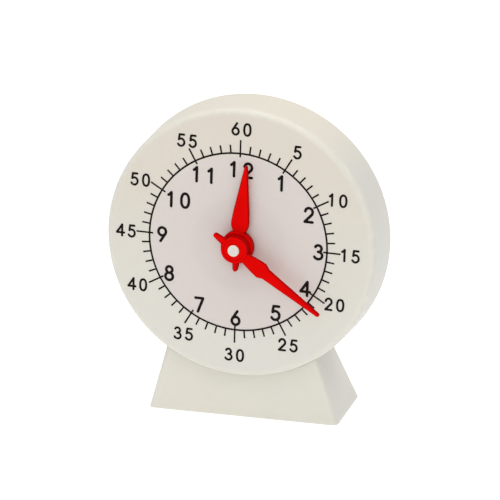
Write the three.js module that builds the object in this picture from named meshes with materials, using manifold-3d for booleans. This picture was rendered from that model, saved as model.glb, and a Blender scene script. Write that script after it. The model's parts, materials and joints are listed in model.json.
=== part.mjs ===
// A student's teaching clock: a drum-shaped case on a flared stand, with an hour and a
// minute hand that one knob on the back turns through a reduction train.
//
// Millimetres. +Z is up, the dial faces -Y and +X is to the viewer's right. Depths are
// measured from the dial's front face, and grow towards the back. The origin is on the
// floor, at the middle of the object's overall width and depth.

import * as THREE from 'three';
import { mergeVertices } from 'three/addons/utils/BufferGeometryUtils.js';
import Module from 'manifold-3d';

const wasm = await Module();
wasm.setup();

// ---- Driving dimensions ----

const AXIS_Z = 66; // height of the hands' axis above the floor
const GAP = 0.3; // clearance between pieces that rest on each other
const RUNNING = 0.1; // radial clearance of a shaft in its hole
const SUNK = 0.5; // how far a boss or post reaches into the wall it stands on
const THROUGH = 1; // how far a cutting tool runs past the faces it cuts

// Case: the dial and the drum wall are one moulding, open at the back.
const CASE_RADIUS = 50.4; // at the back
const CASE_FRONT_RADIUS = 49.4; // the wall has mould draft
const CASE_DEPTH = 21.4;
const CASE_EDGE = 2; // radius of the rounded front and back edges
const CASE_INNER_RADIUS = 47.2;
const DIAL_THICKNESS = 2.2;

// Stand: a hollow block that tapers upwards, with a cradle for the case in its top.
const STAND_HEIGHT = 24.2;
const STAND_WALL = 2;
const STAND_CORNER = 2.2;
const STAND_FOOT = { halfWidth: 35.5, front: 3.5, back: 37 };
const STAND_HEAD = { halfWidth: 28.2, front: 1.9, back: 25.3 };

// Arbor: one shaft carries the minute hand in front and the setting knob behind.
const ARBOR_RADIUS = 2;
const SPIGOT_RADIUS = 1.6; // the step that the minute hand is pressed on
const PIPE_RADIUS = 3.6; // the hour wheel's pipe, around the arbor

// Hands. Depths are negative because the hands lie in front of the dial.
const HOUR_HAND = {
  front: -3, back: -1.4, length: 29.9, tip: 0.6, swell: 3.3, swellAt: 9, shoulder: 2.95,
  shoulderAt: 12.5, hub: 5.9, hubFront: -3.3, hubBack: -0.7, bore: PIPE_RADIUS + RUNNING, angle: 6.2,
};
const MINUTE_HAND = {
  front: -6.8, back: -5.4, length: 37.8, tip: 0.75, swell: 3.05, swellAt: 12.2, shoulder: 2.15,
  shoulderAt: 14, hub: 4.8, hubFront: -7, hubBack: -3.9, bore: SPIGOT_RADIUS + RUNNING, angle: 125.3,
};
const HAND_NECK = 1.9; // half the blade's width where it leaves the hub
const HAND_FLARE = 2.5; // length of the curve that widens the neck into the swell
const HAND_TAIL = { length: 9.2, root: 2, tip: 1 };
const CAP = { radius: 2.1, front: -8, back: -7.2 };

// Gear train: arbor pinion -> idler wheel, idler pinion -> hour wheel, 12 turns to 1.
const MODULE = 1;
const PRESSURE_ANGLE = THREE.MathUtils.degToRad(25);
const ADDENDUM = 0.8;
const DEDENDUM = 1.1;
const BACKLASH = 0.24; // taken off each tooth's thickness at the pitch circle
const PINION_SHIFT = 0.2; // profile shift, added to pinions and taken from wheels
const CENTRE_DISTANCE = 20; // the same for both pairs
const CANNON_TEETH = 10;
const IDLER_WHEEL_TEETH = 30;
const IDLER_PINION_TEETH = 8;
const HOUR_TEETH = 32;
const IDLER_Z = CENTRE_DISTANCE; // the idler stands straight above the arbor
const PIN_RADIUS = 1.5;

// Depths of the layers behind the dial.
const DIAL_BOSS_BACK = 3;
const HOUR_WHEEL = { front: 3.4, back: 6.4, hubBack: 6.6 };
const THRUST_WASHER = { front: 6.8, back: 7.2, outer: 4 };
const CANNON = { front: 7.4, back: 11.2 };
const IDLER = { front: 3.1, wheelFront: 7.8, wheelBack: 10.8, back: 11.6 };
const BRIDGE = { front: 12.2, back: 14.2, lobe: 5, bossBack: 15.2, bossRadius: 4.6 };
const FRICTION_WASHER = { front: 15.5, back: 16.3, outer: 4.4 };
const COLLAR = { front: 16.6, back: 17.8, radius: 4.4 };
const COVER = { front: 19.4, radius: 46.9, seat: 20.4, collarBack: 21.9, collarRadius: 5.5 };
const KNOB = { front: 22.3, back: 31.4, radius: 8, flutes: 24, fluteDepth: 0.35, web: 27.4 };
const KNOB_SEAT = 29.6; // floor of the knob's recess for its screw
const ARBOR_BACK = 27.1;

// Bridge posts, and bosses for the cover's screws, as places around the arbor (x, z).
const POSTS = [[0, -21.5], [19.5, 30], [-19.5, 30]];
const POST_RADIUS = 3;
const COVER_BOSS_RADIUS = 3.4;
const COVER_SCREW_CIRCLE = 42.8;
const COVER_SCREW_ANGLES = [90, 210, 330];
const STAND_SCREW_X = 12;
const STAND_SCREW_Y = 12;
const STAND_BOSS_BOTTOM = 12 - AXIS_Z; // the heads bear on two bosses inside the stand

// Self-tapping screws: the same cross-recessed pan head in four sizes.
const COVER_SCREW = { head: 2.5, height: 1.4, shank: 1.05, length: 11 };
const BRIDGE_SCREW = { head: 2.2, height: 1.3, shank: 0.9, length: 8 };
const STAND_SCREW = { head: 2.6, height: 1.6, shank: 1.1, length: 12.2 };
const KNOB_SCREW = { head: 2.5, height: 1.4, shank: 1, length: 7 };
const PILOT = 0.15; // how much wider than its screw a pilot hole is here

// Facets around a full turn.
const FACETS_LARGE = 72;
const FACETS_MEDIUM = 32;
const FACETS_SMALL = 20;
const FACETS_SCREW = 12;

// ---- Materials ----

function plastic(color, roughness) {
  return new THREE.MeshStandardMaterial({ color, roughness, metalness: 0 });
}

function metal(color, roughness) {
  return new THREE.MeshStandardMaterial({ color, roughness, metalness: 1 });
}

const MILKY_WHITE = plastic(0xe2e0d6, 0.42);
const HAND_RED = plastic(0xe00803, 0.35);
const GEAR_IVORY = plastic(0xd8cfc4, 0.5);
const STEEL = metal(0xb4b6b8, 0.35);
const WASHER_GREY = plastic(0x8a8d90, 0.7);

// ---- Solids ----

// Signed volume of an indexed mesh: negative when its faces point inwards.
function signedVolume(positions, triangles) {
  const a = new THREE.Vector3();
  const b = new THREE.Vector3();
  const c = new THREE.Vector3();
  let sum = 0;
  for (let i = 0; i < triangles.length; i += 3) {
    a.fromArray(positions, 3 * triangles[i]);
    b.fromArray(positions, 3 * triangles[i + 1]);
    c.fromArray(positions, 3 * triangles[i + 2]);
    sum += a.dot(b.cross(c));
  }
  return sum / 6;
}

// Turns a closed geometry into a solid that can be joined and cut.
function toSolid(geometry) {
  geometry.deleteAttribute('normal');
  geometry.deleteAttribute('uv');
  const welded = mergeVertices(geometry);
  const positions = welded.attributes.position.array;
  const index = welded.index.array;
  const triangles = [];
  for (let i = 0; i < index.length; i += 3) {
    const [a, b, c] = [index[i], index[i + 1], index[i + 2]];
    if (a !== b && b !== c && c !== a) {
      triangles.push(a, b, c);
    }
  }
  if (signedVolume(positions, triangles) < 0) {
    triangles.reverse();
  }
  const mesh = new wasm.Mesh({
    numProp: 3,
    vertProperties: new Float32Array(positions),
    triVerts: new Uint32Array(triangles),
  });
  return new wasm.Manifold(mesh);
}

function join(...solids) {
  return solids.reduce((whole, piece) => whole.add(piece));
}

function cut(solid, ...tools) {
  return tools.reduce((rest, tool) => rest.subtract(tool), solid);
}

// A profile of [radius, depth] points, turned about the hands' axis.
function turned(profile, facets) {
  const points = profile.map(([radius, depth]) => new THREE.Vector2(radius, depth));
  return toSolid(new THREE.LatheGeometry(points, facets));
}

// A disc or rod along the depth, centred x and z from the arbor.
function rod(radius, front, back, facets, x = 0, z = 0) {
  const geometry = new THREE.CylinderGeometry(radius, radius, back - front, facets);
  geometry.translate(x, (front + back) / 2, z);
  return toSolid(geometry);
}

// An upright post, with its place and its ends measured from the arbor.
function upright(radius, bottom, top, facets, x, y) {
  const geometry = new THREE.CylinderGeometry(radius, radius, top - bottom, facets);
  geometry.rotateX(Math.PI / 2);
  geometry.translate(x, y, (bottom + top) / 2);
  return toSolid(geometry);
}

// A flat shape drawn in x and z, as thick as the two depths say.
function plate(shape, front, back, curveSegments = 6) {
  const geometry = new THREE.ExtrudeGeometry(shape, {
    depth: back - front,
    bevelEnabled: false,
    curveSegments,
  });
  geometry.rotateX(Math.PI / 2);
  geometry.translate(0, back, 0);
  return toSolid(geometry);
}

function box(width, depth, height, x, y, z) {
  const geometry = new THREE.BoxGeometry(width, depth, height);
  geometry.translate(x, y, z);
  return toSolid(geometry);
}

// Points along a quarter-like arc, as [radius, depth] pairs for a turned profile.
function arc(centreRadius, centreDepth, radius, startDegrees, endDegrees, steps) {
  const points = [];
  for (let i = 0; i <= steps; i += 1) {
    const angle = THREE.MathUtils.degToRad(startDegrees + ((endDegrees - startDegrees) * i) / steps);
    points.push([centreRadius + radius * Math.cos(angle), centreDepth + radius * Math.sin(angle)]);
  }
  return points;
}

function polar(radius, degrees) {
  const angle = THREE.MathUtils.degToRad(degrees);
  return [radius * Math.cos(angle), radius * Math.sin(angle)];
}

// ---- The scene graph ----

const clock = new THREE.Group();

// Everything below is drawn around the arbor, at the dial's front face.
const movement = new THREE.Group();
const frontmost = CAP.front;
const backmost = STAND_FOOT.back;
movement.position.set(0, -(frontmost + backmost) / 2, AXIS_Z);
clock.add(movement);

function addPart(name, solid, material, parent = movement) {
  const { vertProperties, triVerts } = solid.getMesh();
  const geometry = new THREE.BufferGeometry();
  geometry.setAttribute('position', new THREE.BufferAttribute(vertProperties, 3));
  geometry.setIndex(new THREE.BufferAttribute(triVerts, 1));
  const mesh = new THREE.Mesh(geometry, material);
  mesh.name = name;
  parent.add(mesh);
  return mesh;
}

// ---- Front case ----

function caseShell() {
  const edgeSteps = 3;
  const wall = CASE_EDGE;
  const land = 0.5; // flat end of the wall, inside the back edge's rounding
  const profile = [
    [PIPE_RADIUS + RUNNING, 0],
    ...arc(CASE_FRONT_RADIUS - wall, wall, wall, -90, 0, edgeSteps),
    ...arc(CASE_RADIUS - wall, CASE_DEPTH - wall, wall, 0, 90, edgeSteps),
    [CASE_INNER_RADIUS + land, CASE_DEPTH],
    [CASE_INNER_RADIUS, CASE_DEPTH - land],
    [CASE_INNER_RADIUS, DIAL_THICKNESS],
    [PIPE_RADIUS + RUNNING, DIAL_THICKNESS],
    [PIPE_RADIUS + RUNNING, 0],
  ];
  return turned(profile, FACETS_LARGE);
}

function arborBoss() {
  const radius = 7;
  const boss = rod(radius, DIAL_THICKNESS - SUNK, DIAL_BOSS_BACK, FACETS_MEDIUM);
  return cut(boss, rod(PIPE_RADIUS + RUNNING, 0, DIAL_BOSS_BACK + THROUGH, FACETS_LARGE));
}

function idlerPinBoss() {
  const radius = 3.5;
  const height = 0.6;
  return rod(radius, DIAL_THICKNESS - SUNK, DIAL_THICKNESS + height, FACETS_SMALL, 0, IDLER_Z);
}

function bridgePost([x, z]) {
  return rod(POST_RADIUS, DIAL_THICKNESS - SUNK, BRIDGE.front - GAP, FACETS_SMALL, x, z);
}

function coverBoss(degrees) {
  const [x, z] = polar(COVER_SCREW_CIRCLE, degrees);
  const ribThickness = 1.8;
  const ribLength = CASE_INNER_RADIUS + SUNK - COVER_SCREW_CIRCLE;
  const front = DIAL_THICKNESS - SUNK;
  const back = COVER.front - GAP;
  const boss = rod(COVER_BOSS_RADIUS, front, back, FACETS_SMALL, x, z);
  const rib = new THREE.BoxGeometry(ribLength, back - front, ribThickness);
  rib.translate(COVER_SCREW_CIRCLE + ribLength / 2, (front + back) / 2, 0);
  rib.rotateY(-THREE.MathUtils.degToRad(degrees));
  return boss.add(toSolid(rib));
}

// A boss that stands on the inside of the drum wall, above a screw in the stand.
function standBoss(x) {
  const radius = 3.2;
  const top = -40;
  const post = upright(radius, -CASE_RADIUS, top, FACETS_SMALL, x, STAND_SCREW_Y);
  const withinWall = rod(CASE_INNER_RADIUS + SUNK, 0, CASE_DEPTH, FACETS_LARGE);
  return post.intersect(withinWall);
}

function coverPilot(degrees) {
  const [x, z] = polar(COVER_SCREW_CIRCLE, degrees);
  const tip = COVER.front - COVER_SCREW.length;
  return rod(COVER_SCREW.shank + PILOT, tip, CASE_DEPTH, FACETS_SCREW, x, z);
}

function bridgePilot([x, z]) {
  const tip = BRIDGE.back - BRIDGE_SCREW.length - THROUGH;
  return rod(BRIDGE_SCREW.shank + PILOT, tip, BRIDGE.back, FACETS_SCREW, x, z);
}

function standPilot(x) {
  const top = -41;
  const bottom = -CASE_RADIUS - THROUGH;
  return upright(STAND_SCREW.shank + PILOT, bottom, top, FACETS_SCREW, x, STAND_SCREW_Y);
}

function frontCase() {
  const pinHoleFront = 1;
  const solid = join(
    caseShell(),
    arborBoss(),
    idlerPinBoss(),
    ...POSTS.map(bridgePost),
    ...COVER_SCREW_ANGLES.map(coverBoss),
    standBoss(-STAND_SCREW_X),
    standBoss(STAND_SCREW_X),
  );
  return cut(
    solid,
    rod(PIN_RADIUS + RUNNING, pinHoleFront, DIAL_BOSS_BACK + THROUGH, FACETS_SMALL, 0, IDLER_Z),
    ...POSTS.map(bridgePilot),
    ...COVER_SCREW_ANGLES.map(coverPilot),
    standPilot(-STAND_SCREW_X),
    standPilot(STAND_SCREW_X),
  );
}

addPart('front_case', frontCase(), MILKY_WHITE);

// ---- Rear cover ----

function rearCover() {
  const chamfer = 0.5;
  const solid = turned(
    [
      [ARBOR_RADIUS + RUNNING, COVER.front],
      [COVER.radius, COVER.front],
      [COVER.radius, CASE_DEPTH - chamfer],
      [COVER.radius - chamfer, CASE_DEPTH],
      [COVER.collarRadius, CASE_DEPTH],
      [COVER.collarRadius - chamfer, COVER.collarBack],
      [ARBOR_RADIUS + RUNNING, COVER.collarBack],
      [ARBOR_RADIUS + RUNNING, COVER.front],
    ],
    FACETS_LARGE,
  );
  const holes = COVER_SCREW_ANGLES.flatMap((degrees) => {
    const [x, z] = polar(COVER_SCREW_CIRCLE, degrees);
    return [
      rod(COVER_SCREW.shank + GAP, COVER.front - THROUGH, CASE_DEPTH, FACETS_SCREW, x, z),
      rod(COVER_SCREW.head + GAP, COVER.seat, CASE_DEPTH + THROUGH, FACETS_SMALL, x, z),
    ];
  });
  return cut(solid, ...holes);
}

addPart('rear_cover', rearCover(), MILKY_WHITE);

// ---- Stand ----

// The stand's outline at a height above the floor, drawn in by an inset.
function standSection(height, inset) {
  const t = height / STAND_HEIGHT;
  return {
    halfWidth: THREE.MathUtils.lerp(STAND_FOOT.halfWidth, STAND_HEAD.halfWidth, t) - inset,
    front: THREE.MathUtils.lerp(STAND_FOOT.front, STAND_HEAD.front, t) + inset,
    back: THREE.MathUtils.lerp(STAND_FOOT.back, STAND_HEAD.back, t) - inset,
  };
}

function roundedRectangle({ halfWidth, front, back }, radius) {
  const shape = new THREE.Shape();
  const quarter = Math.PI / 2;
  shape.absarc(halfWidth - radius, back - radius, radius, 0, quarter);
  shape.absarc(-halfWidth + radius, back - radius, radius, quarter, 2 * quarter);
  shape.absarc(-halfWidth + radius, front + radius, radius, 2 * quarter, 3 * quarter);
  shape.absarc(halfWidth - radius, front + radius, radius, 3 * quarter, 4 * quarter);
  shape.closePath();
  return shape;
}

// A block between two heights whose sides follow the stand's taper.
function taperedBlock(bottom, top, inset, radius) {
  const lower = standSection(bottom, inset);
  const upper = standSection(top, inset);
  const geometry = new THREE.ExtrudeGeometry(roundedRectangle(lower, radius), {
    depth: top - bottom,
    bevelEnabled: false,
    curveSegments: 5,
  });
  const position = geometry.attributes.position;
  for (let i = 0; i < position.count; i += 1) {
    if (position.getZ(i) > (top - bottom) / 2) {
      const across = position.getX(i) / lower.halfWidth;
      const along = (position.getY(i) - lower.front) / (lower.back - lower.front);
      position.setX(i, across * upper.halfWidth);
      position.setY(i, THREE.MathUtils.lerp(upper.front, upper.back, along));
    }
  }
  geometry.translate(0, 0, bottom - AXIS_Z);
  return toSolid(geometry);
}

// The cradle follows the drum's draft, so that the gap under the drum is even.
function seatCone() {
  const draft = (CASE_RADIUS - CASE_FRONT_RADIUS) / CASE_DEPTH;
  const front = -THROUGH;
  const back = CASE_DEPTH + GAP;
  const radiusAt = (depth) => CASE_FRONT_RADIUS + draft * depth + GAP;
  return turned([[0, front], [radiusAt(front), front], [radiusAt(back), back], [0, back]], FACETS_LARGE);
}

function stand() {
  const cavityTop = 20;
  const bossRadius = 4;
  const reach = 60; // longer than the stand is deep
  const seat = seatCone();
  const underSeat = rod(CASE_RADIUS + GAP + STAND_WALL, -reach, reach, FACETS_LARGE);
  const cavity = taperedBlock(-THROUGH, cavityTop, STAND_WALL, STAND_CORNER / 2).subtract(underSeat);
  const shell = taperedBlock(0, STAND_HEIGHT, 0, STAND_CORNER).subtract(cavity);
  const bosses = [-STAND_SCREW_X, STAND_SCREW_X].map((x) => upright(
    bossRadius, STAND_BOSS_BOTTOM, STAND_HEIGHT - AXIS_Z, FACETS_SMALL, x, STAND_SCREW_Y,
  ));
  const holes = [-STAND_SCREW_X, STAND_SCREW_X].map((x) => upright(
    STAND_SCREW.shank + GAP, -AXIS_Z, 0, FACETS_SCREW, x, STAND_SCREW_Y,
  ));
  return cut(join(shell, ...bosses), seat, ...holes);
}

addPart('stand', stand(), MILKY_WHITE);

// ---- Hands ----

// A blade that leaves the hub narrow, swells, and then tapers to a rounded tip.
function bladeShape(hand) {
  const tipCentre = hand.length - hand.tip;
  const flareStart = hand.hub - SUNK;
  const shape = new THREE.Shape();
  shape.moveTo(HAND_NECK, 0);
  shape.lineTo(HAND_NECK, flareStart);
  shape.quadraticCurveTo(hand.swell, hand.swellAt - HAND_FLARE, hand.swell, hand.swellAt);
  shape.lineTo(hand.shoulder, hand.shoulderAt);
  shape.absarc(0, tipCentre, hand.tip, 0, Math.PI);
  shape.lineTo(-hand.shoulder, hand.shoulderAt);
  shape.lineTo(-hand.swell, hand.swellAt);
  shape.quadraticCurveTo(-hand.swell, hand.swellAt - HAND_FLARE, -HAND_NECK, flareStart);
  shape.lineTo(-HAND_NECK, 0);
  shape.closePath();
  return shape;
}

function tailShape() {
  const { length, root, tip } = HAND_TAIL;
  const shape = new THREE.Shape();
  shape.moveTo(-root, 0);
  shape.absarc(0, -length + tip, tip, Math.PI, 2 * Math.PI);
  shape.lineTo(root, 0);
  shape.closePath();
  return shape;
}

function hand(spec) {
  const solid = join(
    plate(bladeShape(spec), spec.front, spec.back),
    plate(tailShape(), spec.front, spec.back),
    rod(spec.hub, spec.hubFront, spec.hubBack, FACETS_MEDIUM),
  );
  return cut(solid, rod(spec.bore, spec.hubFront - THROUGH, spec.hubBack + THROUGH, FACETS_SMALL));
}

// A hand is pressed on pointing at its own place on the dial, clockwise from the top.
function addHand(name, spec) {
  const mesh = addPart(name, hand(spec), HAND_RED);
  mesh.rotation.y = THREE.MathUtils.degToRad(spec.angle);
}

addHand('hour_hand', HOUR_HAND);
addHand('minute_hand', MINUTE_HAND);

// A white button that covers the arbor's end and holds the minute hand on.
function centreCap() {
  const socket = 1.1;
  const socketFloor = -7.6;
  const edge = 0.6;
  return turned(
    [
      [0, socketFloor],
      [socket, socketFloor],
      [socket, CAP.back],
      [CAP.radius, CAP.back],
      ...arc(CAP.radius - edge, CAP.front + edge, edge, 0, -90, 3),
      [0, CAP.front],
    ],
    FACETS_SMALL,
  );
}

addPart('centre_cap', centreCap(), MILKY_WHITE);

// ---- Arbor ----

function minuteArbor() {
  const spigotBack = -3.8;
  const spigotFront = -7;
  const nibRadius = 1;
  const nibFront = -7.5;
  const solid = turned(
    [
      [0, nibFront],
      [nibRadius, nibFront],
      [nibRadius, spigotFront],
      [SPIGOT_RADIUS, spigotFront],
      [SPIGOT_RADIUS, spigotBack],
      [ARBOR_RADIUS, spigotBack],
      [ARBOR_RADIUS, COLLAR.front],
      [COLLAR.radius, COLLAR.front],
      [COLLAR.radius, COLLAR.back],
      [ARBOR_RADIUS, COLLAR.back],
      [ARBOR_RADIUS, ARBOR_BACK],
      [0, ARBOR_BACK],
    ],
    FACETS_SMALL,
  );
  const holeFront = KNOB_SEAT - KNOB_SCREW.length - THROUGH;
  return cut(solid, rod(KNOB_SCREW.shank + PILOT, holeFront, ARBOR_BACK + THROUGH, FACETS_SCREW));
}

addPart('minute_arbor', minuteArbor(), GEAR_IVORY);

// ---- Gears ----

function involute(angle) {
  return Math.tan(angle) - angle;
}

// Half the angle that a tooth spans at a radius.
function toothHalfAngle(radius, teeth, shift) {
  const pitchRadius = (MODULE * teeth) / 2;
  const baseRadius = pitchRadius * Math.cos(PRESSURE_ANGLE);
  const thickness = MODULE * (Math.PI / 2 + 2 * shift * Math.tan(PRESSURE_ANGLE)) - BACKLASH;
  const local = Math.acos(Math.min(1, baseRadius / radius));
  return thickness / (2 * pitchRadius) + involute(PRESSURE_ANGLE) - involute(local);
}

// A spur gear's outline, with the middle of a tooth at the given angle.
function gearShape(teeth, shift, toothAngle) {
  const pitchRadius = (MODULE * teeth) / 2;
  const tip = pitchRadius + MODULE * (ADDENDUM + shift);
  const root = pitchRadius - MODULE * (DEDENDUM - shift);
  const flankSteps = 2;
  const halfPitch = Math.PI / teeth;
  const flank = [];
  for (let i = 0; i <= flankSteps; i += 1) {
    const radius = root + ((tip - root) * i) / flankSteps;
    flank.push([radius, toothHalfAngle(radius, teeth, shift)]);
  }
  const points = [];
  for (let tooth = 0; tooth < teeth; tooth += 1) {
    const centre = toothAngle + 2 * halfPitch * tooth;
    points.push([root, centre - halfPitch]);
    flank.forEach(([radius, half]) => points.push([radius, centre - half]));
    [...flank].reverse().forEach(([radius, half]) => points.push([radius, centre + half]));
  }
  return new THREE.Shape(
    points.map(([radius, angle]) => new THREE.Vector2(radius * Math.cos(angle), radius * Math.sin(angle))),
  );
}

// Both gears on the arbor's axis point a tooth up at the idler, which answers with a gap.
const TOWARDS_IDLER = Math.PI / 2;

function gapTowardsArbor(teeth) {
  return -Math.PI / 2 + Math.PI / teeth;
}

function hourWheel() {
  const windowCount = 5;
  const windowRadius = 3.4;
  const windowCircle = 9.6;
  const hubRadius = 4.6;
  const pipeFront = -3.3;
  const outline = gearShape(HOUR_TEETH, -PINION_SHIFT, TOWARDS_IDLER);
  const wheel = plate(outline, HOUR_WHEEL.front, HOUR_WHEEL.back);
  const windows = [];
  for (let i = 0; i < windowCount; i += 1) {
    const [x, z] = polar(windowCircle, 90 + (360 * (i + 0.5)) / windowCount);
    windows.push(rod(windowRadius, 0, HOUR_WHEEL.back + THROUGH, FACETS_SCREW, x, z));
  }
  const pipe = rod(PIPE_RADIUS, pipeFront, HOUR_WHEEL.front + SUNK, FACETS_MEDIUM);
  const hub = rod(hubRadius, HOUR_WHEEL.front + SUNK, HOUR_WHEEL.hubBack, FACETS_MEDIUM);
  const boreEnds = [pipeFront - THROUGH, HOUR_WHEEL.hubBack + THROUGH];
  const bore = rod(ARBOR_RADIUS + RUNNING, ...boreEnds, FACETS_MEDIUM);
  return cut(join(cut(wheel, ...windows), pipe, hub), bore);
}

function cannonPinion() {
  const outline = gearShape(CANNON_TEETH, PINION_SHIFT, TOWARDS_IDLER);
  const pinion = plate(outline, CANNON.front, CANNON.back);
  return pinion.subtract(rod(ARBOR_RADIUS + RUNNING, 0, CANNON.back + THROUGH, FACETS_SMALL));
}

// Wheel and pinion moulded as one, drawn around the idler's own axis.
function idlerGear() {
  const windowCount = 5;
  const windowRadius = 3;
  const windowCircle = 9;
  const hubRadius = 3;
  const wheel = plate(
    gearShape(IDLER_WHEEL_TEETH, -PINION_SHIFT, gapTowardsArbor(IDLER_WHEEL_TEETH)),
    IDLER.wheelFront, IDLER.wheelBack,
  );
  const pinion = plate(
    gearShape(IDLER_PINION_TEETH, PINION_SHIFT, gapTowardsArbor(IDLER_PINION_TEETH)),
    IDLER.front, IDLER.wheelFront + SUNK,
  );
  const windows = [];
  for (let i = 0; i < windowCount; i += 1) {
    const [x, z] = polar(windowCircle, -90 + (360 * i) / windowCount);
    windows.push(rod(windowRadius, 0, IDLER.wheelBack + THROUGH, FACETS_SCREW, x, z));
  }
  const hub = rod(hubRadius, IDLER.wheelBack - SUNK, IDLER.back, FACETS_SMALL);
  const bore = rod(PIN_RADIUS + RUNNING, 0, IDLER.back + THROUGH, FACETS_SMALL);
  return cut(join(cut(wheel, ...windows), pinion, hub), bore);
}

addPart('hour_wheel', hourWheel(), GEAR_IVORY);
addPart('cannon_pinion', cannonPinion(), GEAR_IVORY);
addPart('idler_gear', idlerGear(), GEAR_IVORY).position.z = IDLER_Z;

function idlerPin() {
  const front = 1.2;
  const back = 14.6;
  return rod(PIN_RADIUS, front, back, FACETS_SMALL, 0, IDLER_Z);
}

addPart('idler_pin', idlerPin(), STEEL);

// ---- Washers ----

function washer({ front, back, outer }) {
  const bore = rod(ARBOR_RADIUS + RUNNING, front - THROUGH, back + THROUGH, FACETS_SMALL);
  return rod(outer, front, back, FACETS_SMALL).subtract(bore);
}

// A dished spring washer, whose rim is pressed on by the arbor's collar.
function dishedWasher({ front, back, outer }) {
  const thickness = 0.4;
  const bore = ARBOR_RADIUS + RUNNING;
  return turned(
    [
      [bore, front],
      [bore, front + thickness],
      [outer, back],
      [outer, back - thickness],
      [bore, front],
    ],
    FACETS_SMALL,
  );
}

addPart('thrust_washer', washer(THRUST_WASHER), WASHER_GREY);
addPart('friction_washer', dishedWasher(FRICTION_WASHER), STEEL);

// ---- Bridge ----

// The outline of equal discs with a taut band around them, for centres listed anticlockwise.
function bandAroundDiscs(centres, radius) {
  const shape = new THREE.Shape();
  const normals = centres.map(([x, z], i) => {
    const [nextX, nextZ] = centres[(i + 1) % centres.length];
    return Math.atan2(nextZ - z, nextX - x) - Math.PI / 2;
  });
  centres.forEach(([x, z], i) => {
    const before = normals[(i + centres.length - 1) % centres.length];
    shape.absarc(x, z, radius, before, normals[i]);
  });
  shape.closePath();
  return shape;
}

function movementBridge() {
  const solid = join(
    plate(bandAroundDiscs(POSTS, BRIDGE.lobe), BRIDGE.front, BRIDGE.back),
    rod(BRIDGE.bossRadius, BRIDGE.front, BRIDGE.bossBack, FACETS_SMALL),
  );
  const screwHoles = POSTS.map(([x, z]) => rod(
    BRIDGE_SCREW.shank + GAP, 0, BRIDGE.back + THROUGH, FACETS_SCREW, x, z,
  ));
  return cut(
    solid,
    rod(ARBOR_RADIUS + RUNNING, 0, BRIDGE.bossBack + THROUGH, FACETS_MEDIUM),
    rod(PIN_RADIUS + RUNNING, 0, BRIDGE.back + THROUGH, FACETS_SMALL, 0, IDLER_Z),
    ...screwHoles,
  );
}

addPart('movement_bridge', movementBridge(), GEAR_IVORY);

// ---- Setting knob ----

function fluteOutline() {
  const pointsPerFlute = 4;
  const count = KNOB.flutes * pointsPerFlute;
  const points = [];
  for (let i = 0; i < count; i += 1) {
    const angle = (2 * Math.PI * i) / count;
    const radius = KNOB.radius + KNOB.fluteDepth * Math.cos(KNOB.flutes * angle);
    points.push(new THREE.Vector2(radius * Math.cos(angle), radius * Math.sin(angle)));
  }
  return new THREE.Shape(points);
}

function settingKnob() {
  const bevel = 0.6;
  const recessRadius = 3.4;
  const hollowOuter = 6;
  const hollowInner = 4;
  const hollowFloor = 28.4;
  const geometry = new THREE.ExtrudeGeometry(fluteOutline(), {
    depth: KNOB.back - KNOB.front - 2 * bevel,
    bevelThickness: bevel,
    bevelSize: bevel,
    bevelOffset: -bevel,
    bevelSegments: 1,
  });
  geometry.rotateX(Math.PI / 2);
  geometry.translate(0, KNOB.back - bevel, 0);
  const hollow = rod(hollowOuter, KNOB.front - THROUGH, hollowFloor, FACETS_MEDIUM)
    .subtract(rod(hollowInner, 0, hollowFloor + THROUGH, FACETS_MEDIUM));
  return cut(
    toSolid(geometry),
    hollow,
    rod(ARBOR_RADIUS + RUNNING, 0, KNOB.web, FACETS_SMALL),
    rod(KNOB_SCREW.shank + GAP, KNOB.front, KNOB.back, FACETS_SCREW),
    rod(recessRadius, KNOB_SEAT, KNOB.back + THROUGH, FACETS_SMALL),
  );
}

addPart('setting_knob', settingKnob(), MILKY_WHITE);

// ---- Screws ----

// A pan-head screw with its head's underside at depth 0, its tip in front and a cross recess.
function panHeadScrew({ head, height, shank, length }) {
  const point = 1.4;
  const crown = 0.5;
  const recessWidth = 0.28 * head;
  const recessLength = 1.1 * head;
  const recessDepth = 0.55 * height;
  const body = turned(
    [
      [0, -length],
      [shank, -length + point],
      [shank, 0],
      [head, 0],
      [head, height - 2 * crown],
      [head - crown, height - crown / 2],
      [0, height],
    ],
    FACETS_SCREW,
  );
  const slotDepth = 2 * recessDepth;
  return cut(
    body,
    box(recessLength, slotDepth, recessWidth, 0, height, 0),
    box(recessWidth, slotDepth, recessLength, 0, height, 0),
  );
}

const SEAT_GAP = 0.05; // under a screw's head

COVER_SCREW_ANGLES.forEach((degrees, i) => {
  const [x, z] = polar(COVER_SCREW_CIRCLE, degrees);
  const mesh = addPart(`cover_screw_${i + 1}`, panHeadScrew(COVER_SCREW), STEEL);
  mesh.position.set(x, COVER.seat + SEAT_GAP, z);
});

POSTS.forEach(([x, z], i) => {
  const mesh = addPart(`bridge_screw_${i + 1}`, panHeadScrew(BRIDGE_SCREW), STEEL);
  mesh.position.set(x, BRIDGE.back + SEAT_GAP, z);
});

// These two point up, with their heads inside the hollow stand.
[-STAND_SCREW_X, STAND_SCREW_X].forEach((x, i) => {
  const mesh = addPart(`stand_screw_${i + 1}`, panHeadScrew(STAND_SCREW), STEEL);
  mesh.rotation.x = -Math.PI / 2;
  mesh.position.set(x, STAND_SCREW_Y, STAND_BOSS_BOTTOM - SEAT_GAP);
});

addPart('knob_screw', panHeadScrew(KNOB_SCREW), STEEL).position.y = KNOB_SEAT + SEAT_GAP;

export default clock;
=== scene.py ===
# Looks for the student's teaching clock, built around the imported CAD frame.
#
# Pieces are drawn in millimetres around the hands' axis, as the CAD is: x to the
# viewer's right, z up, and a depth that is 0 at the dial's front face and grows
# towards the back. make_piece() scales them to metres and puts them in place.

import json
import math

import bmesh
import bpy
from mathutils import Matrix, Vector
from mathutils.geometry import delaunay_2d_cdt


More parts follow.
